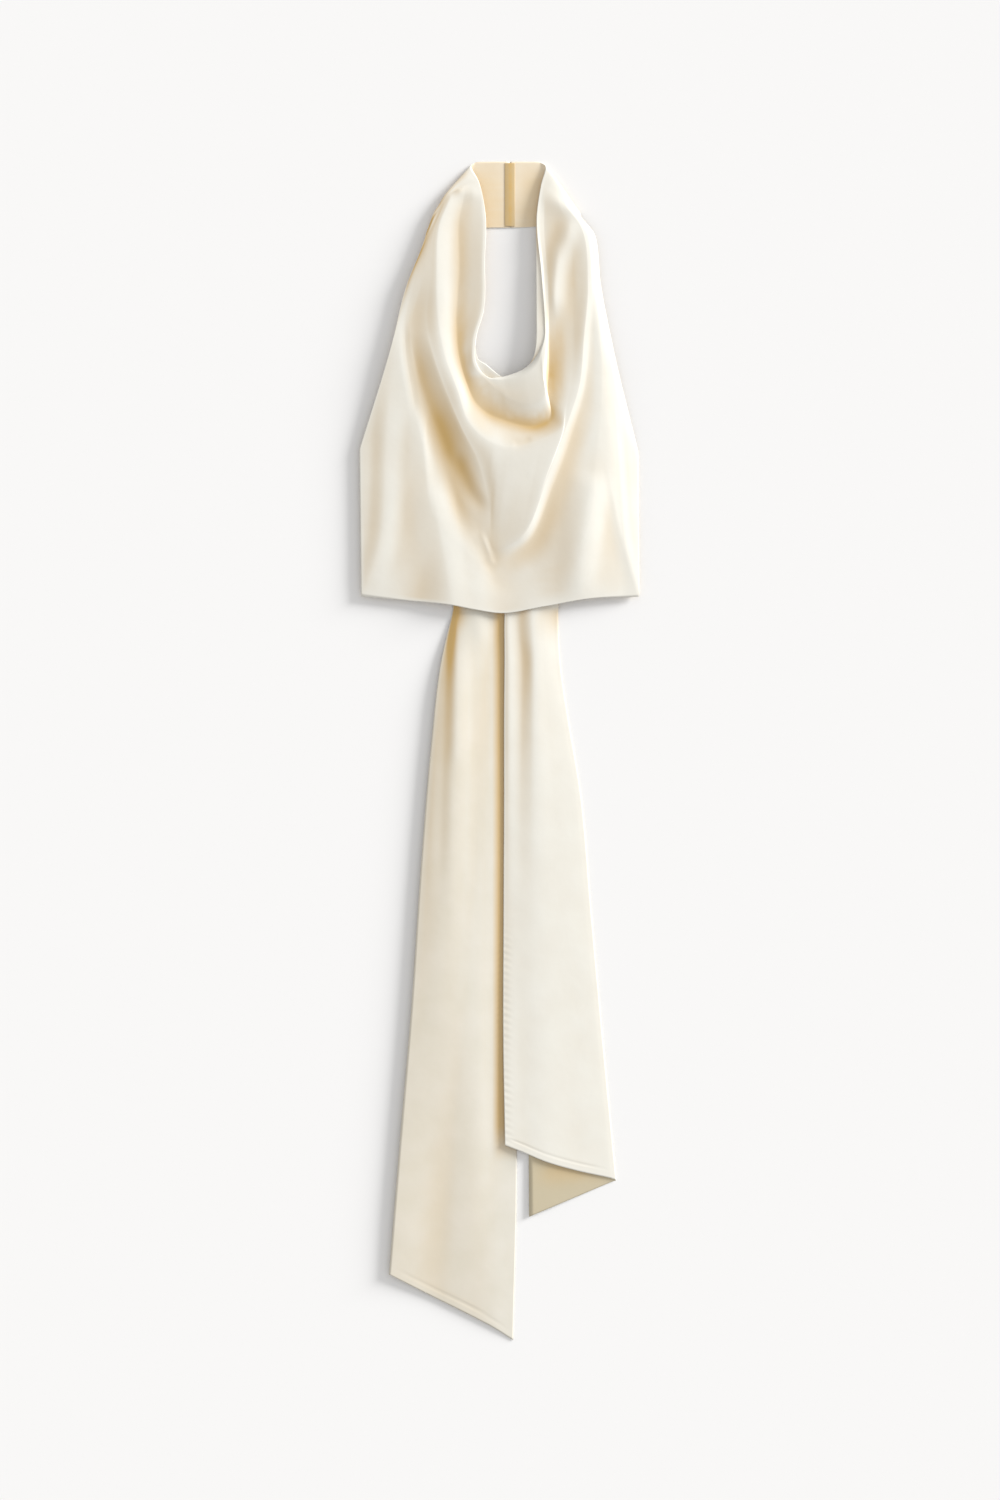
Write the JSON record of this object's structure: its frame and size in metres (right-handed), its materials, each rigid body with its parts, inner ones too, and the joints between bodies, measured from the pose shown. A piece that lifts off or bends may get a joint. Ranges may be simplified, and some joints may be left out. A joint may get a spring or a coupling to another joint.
{
  "type": "halter neck top",
  "caption": "Sleeveless satin halter neck top with a cowl front and two long flared side ties, laid out flat with its front up.",
  "frame": {"origin": "middle of the box round the laid-out top, on the surface it lies on", "axes": "+X across the top towards the picture's right, +Y up the top towards the neck, +Z away from the surface"},
  "size_m": [0.3077, 1.296, 0.0181],
  "materials": {
    "satin_outside": "lustrous ivory satin",
    "satin_inside": "duller inside of the satin"
  },
  "bodies": {
    "root": {"front_panel": "satin_outside", "neck_facing": "satin_outside", "neck_seam_allowance": "satin_inside", "tie_left": "satin_outside", "tie_right": "satin_outside"}
  },
  "joints": []
}
